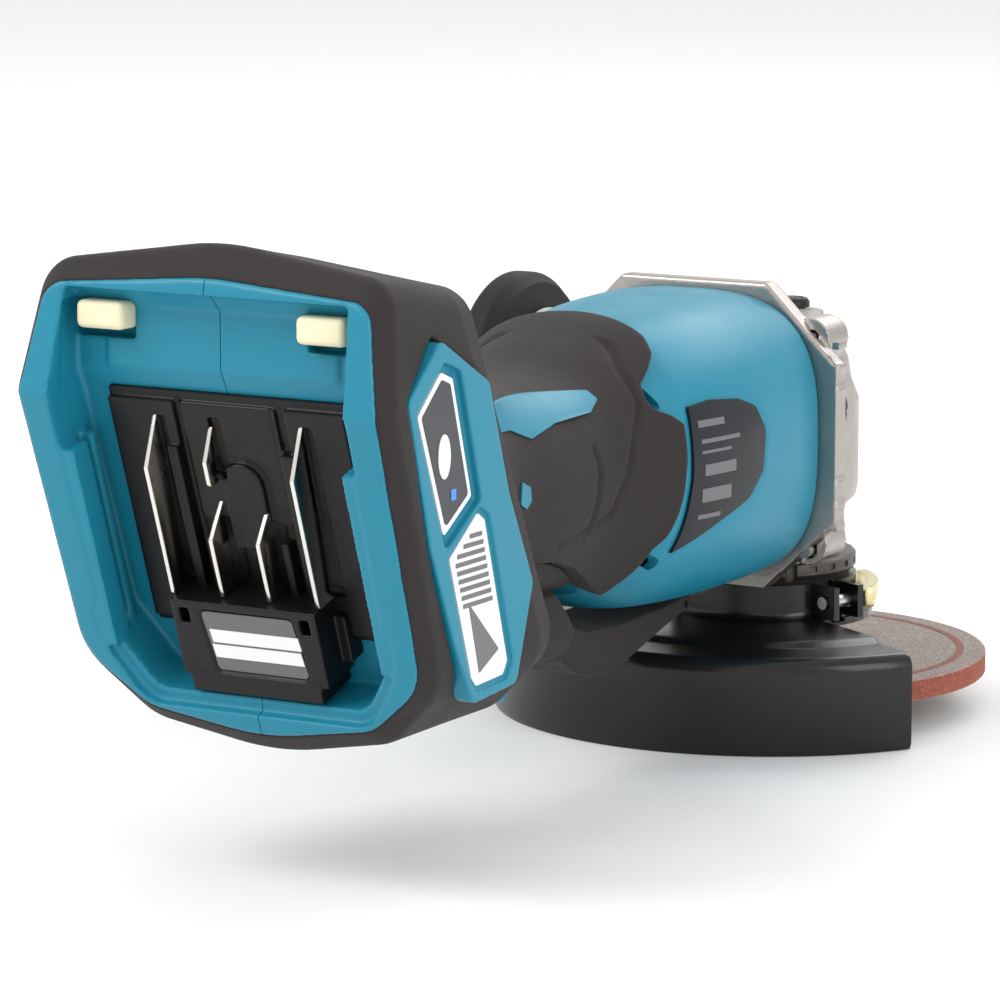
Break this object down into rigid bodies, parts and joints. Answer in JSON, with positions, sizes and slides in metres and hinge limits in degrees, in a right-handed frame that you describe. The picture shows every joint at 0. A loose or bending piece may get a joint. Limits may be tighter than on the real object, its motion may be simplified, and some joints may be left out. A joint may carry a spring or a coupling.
{
  "type": "cordless angle grinder",
  "caption": "Cordless angle grinder with a paddle switch, side handle, swivelling wheel guard and depressed-centre grinding wheel, with an empty battery bay at the rear.",
  "frame": {"origin": "centre of the spindle's lower end face, on the wheel's axis", "axes": "+Z along the spindle towards the gear housing, -Y along the motor axis towards the battery end, +X to the tool's right-hand side"},
  "size_m": [0.2544, 0.3487, 0.1555],
  "materials": {
    "teal_plastic": "satin moulded",
    "dark_rubber": "fine-grained overmould",
    "black_plastic": "satin moulded",
    "guard_paint": "gloss black paint",
    "cast_aluminium": "cast, lightly polished",
    "steel": "machined",
    "nickel_plate": "bright nickel plate",
    "zinc_plate": "yellow zinc plate",
    "copper_winding": "varnished winding on a steel core",
    "abrasive": "bonded abrasive",
    "cream_rubber": "soft moulded",
    "label_film": "printed film",
    "white_label": "printed film",
    "grey_plastic": "satin moulded",
    "potted_board": "potted board"
  },
  "bodies": {
    "tool_body": {"battery_bumper_left": "cream_rubber", "battery_bumper_right": "cream_rubber", "bearing_box": "cast_aluminium", "controller": "potted_board", "display_label": "label_film", "front_motor_bearing": "steel", "gear_housing": "cast_aluminium", "grip_cover": "dark_rubber", "head_screw_1": "steel", "head_screw_2": "steel", "head_screw_3": "steel", "head_screw_4": "steel", "lower_spindle_bearing": "steel", "motor_housing": "teal_plastic", "name_plate": "label_film", "rating_plate": "black_plastic", "rear_cover": "dark_rubber", "rear_housing_left": "teal_plastic", "rear_housing_right": "teal_plastic", "rear_motor_bearing": "steel", "side_handle_boss": "grey_plastic", "side_handle_grip": "dark_rubber", "side_handle_stud": "steel", "side_panel_left": "teal_plastic", "side_panel_right": "teal_plastic", "speed_chart_label": "white_label", "stator": "copper_winding", "switch_unit": "black_plastic", "terminal_blade_1": "nickel_plate", "terminal_blade_2": "nickel_plate", "terminal_blade_3": "nickel_plate", "terminal_blade_4": "nickel_plate", "terminal_blade_5": "nickel_plate", "terminal_block": "black_plastic", "upper_spindle_bearing": "steel"},
    "spindle": {"spindle": "steel", "inner_flange": "steel", "grinding_wheel": "abrasive", "lock_nut": "steel", "bevel_gear": "steel"},
    "rotor": {"rotor_shaft": "steel", "pinion": "steel", "rotor_core": "steel", "cooling_fan": "black_plastic"},
    "guard": {"wheel_guard": "guard_paint", "guard_clamp_screw": "steel"},
    "clamp_lever": {"guard_clamp_lever": "zinc_plate"},
    "shaft_lock": {"shaft_lock_button": "black_plastic"},
    "paddle": {"paddle_lever": "black_plastic"},
    "lock_off": {"lock_off_lever": "teal_plastic"}
  },
  "joints": [
    {"name": "spindle_spin", "type": "hinge", "parent": "tool_body", "child": "spindle", "pos_m": [0, 0, 0], "axis": [0, 0, 1], "continuous": true},
    {"name": "rotor_spin", "type": "hinge", "parent": "tool_body", "child": "rotor", "pos_m": [0, -0.07, 0.073], "axis": [0, 1, 0], "continuous": true},
    {"name": "guard_turn", "type": "hinge", "parent": "tool_body", "child": "guard", "pos_m": [0, 0, 0.019], "axis": [0, 0, 1], "range_deg": [-40, 90]},
    {"name": "clamp_swing", "type": "hinge", "parent": "guard", "child": "clamp_lever", "pos_m": [0.03272, -0.00074, 0.0255], "axis": [0, 0, -1], "range_deg": [0, 70]},
    {"name": "shaft_lock_press", "type": "slide", "parent": "tool_body", "child": "shaft_lock", "axis": [0, 0, -1], "range_m": [0, 0.004], "stiffness_N_per_m": 600, "springref_m": -0.004},
    {"name": "paddle_squeeze", "type": "hinge", "parent": "tool_body", "child": "paddle", "pos_m": [0, -0.063, 0.0255], "axis": [-1, 0, 0], "range_deg": [0, 4], "stiffness_Nm_per_rad": 1.5, "springref_deg": -8.59},
    {"name": "lock_off_flip", "type": "hinge", "parent": "paddle", "child": "lock_off", "pos_m": [0, -0.141, 0.0315], "axis": [-1, 0, 0], "range_deg": [0, 30], "stiffness_Nm_per_rad": 0.03, "springref_deg": -14.32}
  ],
  "couplings": [
    {"joint": "rotor_spin", "follows": "spindle_spin", "ratio": -3.4}
  ]
}
